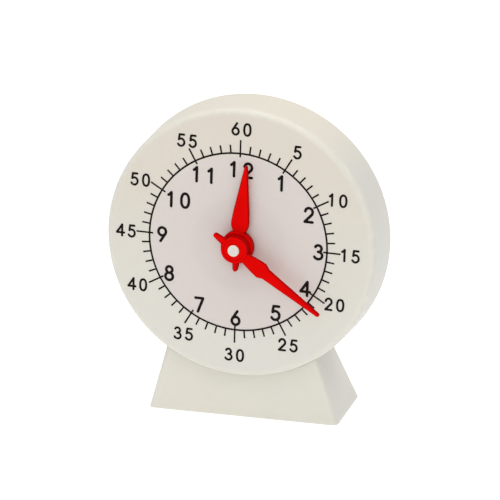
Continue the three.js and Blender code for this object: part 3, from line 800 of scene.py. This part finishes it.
def make_stand():
    """A hollow flared block with a cradle for the drum and two screw bosses inside."""
    far = 60  # well beyond the stand, in front and behind
    under_seat = rod(CASE_RADIUS + GAP + STAND_WALL, -far, far, segments=ROUND_STEPS)
    cavity = cut(tapered_block(-1, STAND_CAVITY_TOP, STAND_WALL, STAND_CORNER / 2), under_seat)
    shell = cut(tapered_block(0, STAND_HEIGHT + STAND_HORN, 0, STAND_CORNER), cavity)
    bottom, top = FLOOR + STAND_BOSS_BOTTOM, FLOOR + STAND_HEIGHT
    hole = STAND_SCREW["shank"] + GAP
    bosses = [upright(STAND_BOSS_RADIUS, bottom, top, x, STAND_SCREW_DEPTH) for x in STAND_SCREW_X]
    holes = [upright(hole, FLOOR, 0, x, STAND_SCREW_DEPTH, CLEARANCE_STEPS) for x in STAND_SCREW_X]
    seat = drum_cone(CONTACT, -1, CASE_DEPTH + GAP)
    stand = cut(join(shell, *bosses), seat, *holes)
    soften_edges(stand, width=0.15, steps=2)
    return make_piece(stand, "stand_moulding", "stand")


# ---- Hands ----

# A hand's section, from the back edge round to the crown: insets from the edge in
# millimetres, then shares of what is left of the width, each with a share of the thickness.
EDGE_SECTION = ((0.15, 0), (0, 0.1), (0, 0.45), (0.08, 0.6), (0.22, 0.72), (0.4, 0.8))
CROWN_SECTION = ((0.75, 0.91), (0.4, 0.975))
FULL_SECTION = 1.2  # the half width below which the insets shrink with it
TIP_ANGLES = (0, 15, 30, 45, 60, 75, 85)
HUB_STEPS = 96


def lofted(stations, front, back):
    """A bar along z through (half width, z) stations, with a crowned front and soft edges."""
    builder = bmesh.new()
    rings = []
    for half, z in stations:
        tight = min(1, half / FULL_SECTION)
        side = [(half - inset * tight, share) for inset, share in EDGE_SECTION]
        side += [(side[-1][0] * across, share) for across, share in CROWN_SECTION]
        section = side + [(0, 1)] + [(-x, share) for x, share in reversed(side)]
        thickness = front - back
        rings.append([builder.verts.new((x, back + thickness * share, z)) for x, share in section])
    for here, there in zip(rings, rings[1:]):
        band(builder, here, there)
    builder.faces.new(rings[0])
    builder.faces.new(rings[-1])
    return solid_object(builder)


def round_tip(radius, length):
    """Stations around a rounded end, whose furthest point is at a length from the axis."""
    angles = [math.radians(degrees) for degrees in TIP_ANGLES]
    return [(radius * math.cos(a), length - radius + radius * math.sin(a)) for a in angles]


def blade_stations(hand):
    """The blade from the axis outwards: neck, flare, swell, shoulder and rounded tip."""
    neck_at = hand["hub"] - 0.5
    steps = 8
    stations = [(HAND_NECK, 0)]
    for step in range(steps + 1):
        t = step / steps
        a, b, c = (1 - t) ** 2, 2 * t * (1 - t), t ** 2
        half = a * HAND_NECK + (b + c) * hand["swell"]
        z = a * neck_at + b * (hand["swell_at"] - HAND_FLARE) + c * hand["swell_at"]
        stations.append((half, z))
    stations.append((hand["shoulder"], hand["shoulder_at"]))
    return stations + round_tip(hand["tip"], hand["length"])


def make_hand(name, node, hand):
    """A hand with a tapered blade, a short tail and a hub with a raised rim."""
    front, back = hand["front"], hand["back"]
    blade = lofted(blade_stations(hand), front, back)
    tail_end = round_tip(HAND_TAIL["tip"], HAND_TAIL["length"])
    tail = lofted([(HAND_TAIL["root"], 0), *tail_end], front, back)
    tail.data.transform(Matrix.Rotation(math.pi, 4, "Y"))
    rim, dish = 0.9, 0.18
    hub = turned(rounded([
        (hand["bore"], hand["hub_front"] + dish, 0.1),
        (hand["hub"] - rim - dish, hand["hub_front"] + dish, 0.1),
        (hand["hub"] - rim, hand["hub_front"], 0.1),
        (hand["hub"], hand["hub_front"], 0.25),
        (hand["hub"], hand["hub_back"], 0.2),
        (hand["bore"], hand["hub_back"], 0.1),
    ], 4, support=0.03), HUB_STEPS)
    inside_hub = rod(hand["hub"] - rim - dish - 0.1, CAP_FRONT - 1, 0, segments=HUB_STEPS)
    solid = join(cut(join(blade, tail), inside_hub), hub)
    solid.data.transform(Matrix.Rotation(math.radians(hand["angle"]), 4, "Y"))
    return make_piece(solid, name, node)


def make_cap():
    """A button with a flat top, and a socket that fits the arbor's nib."""
    socket, socket_floor = 1.1, -7.6
    cap = turned(rounded([
        (0, socket_floor, 0),
        (socket, socket_floor, 0.1),
        (socket, CAP_BACK, 0.1),
        (CAP_RADIUS, CAP_BACK, 0.15),
        (CAP_RADIUS - 0.1, CAP_FRONT, 0.55),
        (0, CAP_FRONT, 0),
    ], 6, closed=False, support=0.04), 64, closed=False)
    return make_piece(cap, "cap_button", "centre_cap")


# ---- Knob and screws ----


def make_knob():
    """A fluted knob, hollow towards the clock, with a recess for its screw."""
    hollow_inner, hollow_outer, hollow_floor, recess = 4, 6, 28.4, 3.4
    hole = KNOB_SCREW["shank"] + GAP
    profile = rounded([
        (ARBOR_HOLE, KNOB_FRONT, 0.15),
        (hollow_inner, KNOB_FRONT, 0.2),
        (hollow_inner, hollow_floor, 0.2),
        (hollow_outer, hollow_floor, 0.2),
        (hollow_outer, KNOB_FRONT, 0.2),
        (KNOB_RADIUS, KNOB_FRONT, 0.5),
        (KNOB_RADIUS - 0.15, KNOB_BACK, 0.8),
        (recess, KNOB_BACK, 0.3),
        (recess, KNOB_SEAT, 0.15),
        (hole, KNOB_SEAT, 0.1),
        (hole, KNOB_WEB, 0.1),
        (ARBOR_HOLE, KNOB_WEB, 0.1),
    ], 5, support=0.04)
    flutes_from, knob_steps = 6.6, 384

    def fluted(radius, depth, angle):
        """Flutes that grow to their full depth within a millimetre of radius."""
        share = max(0, min(1, radius - flutes_from))
        wave = abs(math.cos(KNOB_FLUTES * angle / 2)) ** 0.7
        return radius + share * FLUTE_DEPTH * (2 * wave - 1.2)

    return make_piece(turned(profile, knob_steps, fluted), "knob_moulding", "setting_knob")


def cross_cutter(head, height):
    """A tapered cross, as a Phillips driver's tip, pointing into a screw's head."""
    long, wide, floor = 0.55 * head, 0.15 * head, 0.4 * height
    outline = [(wide, wide), (wide, long), (-wide, long), (-wide, wide), (-long, wide), (-long, -wide)]
    outline += [(-x, -z) for x, z in outline]
    builder = bmesh.new()
    levels = []
    for depth, scale in ((floor, 0.5), (1.2 * height, 1.1)):
        levels.append([builder.verts.new((x * scale, depth, z * scale)) for x, z in outline])
    for level in levels:
        builder.faces.new(level)
    band(builder, *levels)
    return solid_object(builder)


def make_thread(shank, length):
    """A tapered core with a thread wound on it, from below the head to the tip."""
    pitch, point, plain, crest_half = 0.7, 1.6, 0.3, 0.22
    rows_per_turn, around = 6, 24
    core = 0.68 * shank
    rows = math.ceil((length - plain) / pitch * rows_per_turn)
    builder = bmesh.new()
    rings = []
    for row in range(rows + 1):
        depth = -plain - (length - plain) * row / rows
        taper = min(1, max(0.12, (length + depth) / point))
        fade = min(1, row / 4, (rows - row) / 3)
        ring = []
        for k in range(around):
            phase = (depth / pitch - k / around) % 1
            crest = max(0, 1 - abs(phase - 0.5) / crest_half)
            radius = (core + (shank - core) * crest * fade) * taper
            angle = 2 * math.pi * k / around
            ring.append(builder.verts.new((radius * math.cos(angle), depth, radius * math.sin(angle))))
        rings.append(ring)
    for here, there in zip(rings, rings[1:]):
        band(builder, here, there)
    builder.faces.new(rings[0])
    builder.faces.new(rings[-1])
    return solid_object(builder)


def make_screw(size):
    """A pan-head self-tapping screw: its head's underside is at depth 0, its tip in front."""
    head, height, shank = size["head"], size["height"], size["shank"]
    neck, neck_front = 0.8 * shank, -0.6
    top = turned(rounded([
        (0, neck_front, 0),
        (neck, neck_front, 0),
        (neck, 0, 0.1),
        (head, 0, 0.1),
        (head, 0.5 * height, 0.5 * height * 0.8),
        (0.55 * head, height, head * 0.8),
        (0, height, 0),
    ], 5, closed=False, support=0.03), 48, closed=False)
    return cut(join(top, make_thread(shank, size["length"])), cross_cutter(head, height))


def place_screws(prefix, node_prefix, size, places, upward=False):
    """Screws at their places, numbered from 1 where there are more than one."""
    for i, (x, depth, z) in enumerate(places, 1):
        screw = make_screw(size)
        if upward:
            screw.data.transform(Matrix.Rotation(-math.pi / 2, 4, "X"))
        screw.data.transform(Matrix.Translation((x, depth, z)))
        suffix = f"_{i}" if len(places) > 1 else ""
        make_piece(screw, f"{prefix}{suffix}", f"{node_prefix}{suffix}")


def make_screws():
    circle = [polar(COVER_SCREW_CIRCLE, degrees) for degrees in COVER_SCREW_ANGLES]
    cover = [(x, COVER_SEAT + SCREW_SEAT_GAP, z) for x, z in circle]
    bridge = [(x, BRIDGE_BACK + SCREW_SEAT_GAP, z) for x, z in POSTS]
    boss_bottom = FLOOR + STAND_BOSS_BOTTOM - SCREW_SEAT_GAP
    stand = [(x, STAND_SCREW_DEPTH, boss_bottom) for x in STAND_SCREW_X]
    place_screws("cover_fixing", "cover_screw", COVER_SCREW, cover)
    place_screws("bridge_fixing", "bridge_screw", BRIDGE_SCREW, bridge)
    place_screws("stand_fixing", "stand_screw", STAND_SCREW, stand, upward=True)
    place_screws("knob_fixing", "knob_screw", KNOB_SCREW, [(0, KNOB_SEAT + SCREW_SEAT_GAP, 0)])


# ---- Print on the dial ----

PRINT_TURN = math.radians(-1.867)  # the print is turned slightly clockwise on the case
PRINT_CENTRE = (-0.59, 0.88)  # and sits a little off its middle
INK_FRONT, INK_BACK = -0.03, 0.02  # the ink stands on the dial and reaches just into it
DOT_STEPS = 16  # around a pen's dot
LINE_WIDTH = 0.66
TICK_WIDTH = 0.6
SHORT_TICK = (1.0, 1.092)  # ends, as shares of the minute line's radius
LONG_TICK = (0.958, 1.15)
MINUTE_TEXT = {"height": 4.95, "width": 3.05, "stroke": 0.8, "pitch": 4.25}
HOUR_TEXT = {"height": 6.1, "width": 3.8, "stroke": 1.0, "pitch": 5.4}
# Columns and rows of the labels from 12 o'clock to 3 o'clock, as shares of the same radius,
# and how far the whole ring is shifted as (right, up).
MINUTE_GRID = {
    "columns": (0, 0.612, 1.112, 1.266),
    "rows": (1.277, 1.096, 0.603, 0),
    "shift": (-0.006, -0.008),
}
HOUR_GRID = {
    "columns": (0, 0.434, 0.77, 0.885),
    "rows": (0.836, 0.735, 0.423, 0.012),
    "shift": (0.02, -0.017),
}
# Labels that the print has a little off those places: how far, as (right, up).
MINUTE_NUDGES = {
    "60": (0.011, 0), "5": (0.026, -0.011), "10": (-0.008, 0), "20": (0, 0.034),
    "30": (0.009, -0.007), "35": (0.032, -0.015), "40": (-0.011, 0), "50": (0, -0.007),
    "55": (0.019, -0.008),
}
HOUR_NUDGES = {
    "2": (-0.007, -0.007), "4": (-0.015, 0.007), "6": (-0.015, -0.011), "7": (0, -0.011),
    "8": (-0.015, 0), "9": (0.009, 0), "10": (0.073, 0),
}


def oval(x, z, radius_x, radius_z, power=2.0, steps=40):
    """A closed superellipse: power 2 is an ellipse, and more is squarer."""
    points = []
    for step in range(steps + 1):
        angle = 2 * math.pi * step / steps
        across, up = math.cos(angle), math.sin(angle)
        points.append((
            x + radius_x * math.copysign(abs(across) ** (2 / power), across),
            z + radius_z * math.copysign(abs(up) ** (2 / power), up),
        ))
    return points


# Pen strokes of each digit, in a box that is 1 wide and 1 high.
DIGITS = {
    "0": [oval(0.5, 0.5, 0.5, 0.5, 2.3)],
    "1": [[(0.22, 0.80), (0.40, 0.87), (0.60, 1), (0.60, 0)]],
    "2": [arc(0.5, 0.71, 0.48, 0.29, 172, -32, 20) + [(0, 0), (1, 0)]],
    "3": [arc(0.46, 0.765, 0.42, 0.235, 155, -88, 18), arc(0.47, 0.265, 0.53, 0.265, 92, -155, 22)],
    "4": [[(0.77, 0), (0.77, 1), (-0.09, 0.28), (1.1, 0.28)]],
    "5": [[(0.92, 1), (0.20, 1), (0.10, 0.56)] + arc(0.46, 0.32, 0.54, 0.32, 132, -150, 22)],
    "6": [oval(0.5, 0.29, 0.5, 0.29), [(0.70, 1), (0.06, 0.42)]],
    "7": [[(0, 1), (1, 1), (0.36, 0)]],
    "8": [oval(0.5, 0.77, 0.41, 0.23), oval(0.5, 0.27, 0.5, 0.27)],
    "9": [oval(0.5, 0.71, 0.5, 0.29), [(0.94, 0.58), (0.30, 0)]],
}


def on_dial(x, z):
    """A point of the print, turned and shifted to its place on the dial."""
    cos, sin = math.cos(PRINT_TURN), math.sin(PRINT_TURN)
    return PRINT_CENTRE[0] + x * cos - z * sin, PRINT_CENTRE[1] + x * sin + z * cos


def pen(strokes, width):
    """Polygons that cover pen strokes: a band for each stretch and a disc at each point."""
    half = width / 2
    last = 360 - 360 / DOT_STEPS
    shapes = []
    for stroke in strokes:
        for (x0, z0), (x1, z1) in zip(stroke, stroke[1:]):
            length = math.hypot(x1 - x0, z1 - z0)
            if length < 1e-6:
                continue
            nx, nz = -(z1 - z0) / length * half, (x1 - x0) / length * half
            shapes.append([
                (x0 + nx, z0 + nz), (x0 - nx, z0 - nz), (x1 - nx, z1 - nz), (x1 + nx, z1 + nz),
            ])
        shapes += [arc(x, z, half, half, 0, last, DOT_STEPS - 1) for x, z in stroke]
    return shapes


def label_shapes(text, centre_x, centre_z, style):
    """The polygons of a number whose inked box is centred on a point of the print."""
    width, height = style["width"] - style["stroke"], style["height"] - style["stroke"]
    strokes = []
    for i, digit in enumerate(text):
        left = i * style["pitch"]
        for stroke in DIGITS[digit]:
            strokes.append([(left + u * width, v * height) for u, v in stroke])
    xs = [x for stroke in strokes for x, z in stroke]
    shift_x, shift_z = centre_x - (min(xs) + max(xs)) / 2, centre_z - height / 2
    moved = [[(x + shift_x, z + shift_z) for x, z in stroke] for stroke in strokes]
    return pen(moved, style["stroke"])


def ink_piece(name, shapes):
    """One raised layer of ink from overlapping polygons, merged into a clean closed solid."""
    points, faces = [], []
    for shape in shapes:
        first = len(points)
        points += [Vector(on_dial(x, z)) for x, z in shape]
        faces.append(list(range(first, first + len(shape))))
    merged, _, triangles, _, _, sources = delaunay_2d_cdt(points, [], faces, 1, 1e-5)
    builder = bmesh.new()
    corners = [builder.verts.new((p.x, INK_FRONT, p.y)) for p in merged]
    inked = [builder.faces.new([corners[i] for i in t]) for t, own in zip(triangles, sources) if own]
    bmesh.ops.delete(builder, geom=[v for v in corners if not v.link_faces], context="VERTS")
    bmesh.ops.recalc_face_normals(builder, faces=inked)
    thicken(builder, inked, INK_BACK - INK_FRONT)
    return make_piece(solid_object(builder), name, "front_case", slot="dial_ink", replaces=False)


def minute_track():
    """The minute line as a ring of bands, with a tick on it for each minute."""
    inner, outer = TRACK_RADIUS - LINE_WIDTH / 2, TRACK_RADIUS + LINE_WIDTH / 2
    around = 240
    shapes = []
    for step in range(around):
        a, b = 360 * step / around, 360 * (step + 1) / around
        shapes.append([polar(inner, a), polar(outer, a), polar(outer, b), polar(inner, b)])
    for minute in range(60):
        ends = LONG_TICK if minute % 5 == 0 else SHORT_TICK
        start, end = (polar(share * TRACK_RADIUS, 90 - 6 * minute) for share in ends)
        nx, nz = polar(TICK_WIDTH / 2, -6 * minute)
        shapes.append([
            (start[0] + nx, start[1] + nz), (end[0] + nx, end[1] + nz),
            (end[0] - nx, end[1] - nz), (start[0] - nx, start[1] - nz),
        ])
    return shapes


def ring_of_labels(texts, grid, nudges, style):
    """Twelve labels, clockwise from the top, on columns and rows mirrored in each quarter."""
    shift_x, shift_z = grid["shift"]
    shapes = []
    for i, text in enumerate(texts):
        hours_from_top = min(i, 12 - i)
        upper = hours_from_top <= 3
        k = hours_from_top if upper else 6 - hours_from_top
        side = 1 if i <= 6 else -1
        up = 1 if upper else -1
        right, higher = nudges.get(text, (0, 0))
        x = side * grid["columns"][k] + shift_x + right
        z = up * grid["rows"][k] + shift_z + higher
        shapes += label_shapes(text, x * TRACK_RADIUS, z * TRACK_RADIUS, style)
    return shapes


def make_print():
    minutes = ["60"] + [str(5 * i) for i in range(1, 12)]
    hours = ["12"] + [str(i) for i in range(1, 12)]
    minute_labels = ring_of_labels(minutes, MINUTE_GRID, MINUTE_NUDGES, MINUTE_TEXT)
    hour_labels = ring_of_labels(hours, HOUR_GRID, HOUR_NUDGES, HOUR_TEXT)
    ink_piece("minute_track", minute_track())
    ink_piece("minute_numerals", minute_labels)
    ink_piece("hour_numerals", hour_labels)


make_case()
make_cover()
make_stand()
make_hand("hour_hand_moulding", "hour_hand", HOUR_HAND)
make_hand("minute_hand_moulding", "minute_hand", MINUTE_HAND)
make_cap()
make_knob()
make_screws()
make_print()

# ---- Floor and light ----

FLOOR_HALF = 4  # metres
FLOOR_GREY = (0.42, 0.42, 0.42)
FLOOR_GLOW = 0.72  # with the light on it, this makes the floor a plain white
WORLD_STRENGTH = 0.66


def make_floor():
    """A plain white floor that the stand rests on."""
    builder = bmesh.new()
    bmesh.ops.create_grid(builder, x_segments=8, y_segments=8, size=FLOOR_HALF)
    mesh = bpy.data.meshes.new("floor")
    builder.to_mesh(mesh)
    builder.free()
    floor = bpy.data.objects.new("floor", mesh)
    bpy.context.scene.collection.objects.link(floor)
    graph = Graph("floor_paper")
    graph.surface(
        Base_Color=FLOOR_GREY,
        Roughness=0.9,
        Specular_IOR_Level=0.1,
        Emission_Color=(1, 1, 1),
        Emission_Strength=FLOOR_GLOW,
    )
    mesh.materials.append(graph.material)


def area_light(name, azimuth, elevation, distance, size, power):
    """A square light that faces the clock, with its distance and size in metres."""
    data = bpy.data.lights.new(name, "AREA")
    data.size = size
    data.energy = power
    light = bpy.data.objects.new(name, data)
    direction = towards(math.radians(azimuth), math.radians(elevation))
    light.location = ORIGIN + distance * direction
    light.rotation_euler = (-direction).to_track_quat("-Z", "Y").to_euler()
    bpy.context.scene.collection.objects.link(light)


def make_world(strength):
    world = bpy.data.worlds.new("studio")
    world.use_nodes = True
    background = world.node_tree.nodes["Background"]
    background.inputs["Color"].default_value = (1, 1, 1, 1)
    background.inputs["Strength"].default_value = strength
    bpy.context.scene.world = world


make_floor()
make_world(WORLD_STRENGTH)
area_light("overhead", azimuth=20, elevation=84, distance=1.3, size=1.2, power=9)
area_light("key", azimuth=12, elevation=26, distance=1.4, size=0.9, power=1.7)
bpy.context.scene.view_settings.view_transform = "Standard"
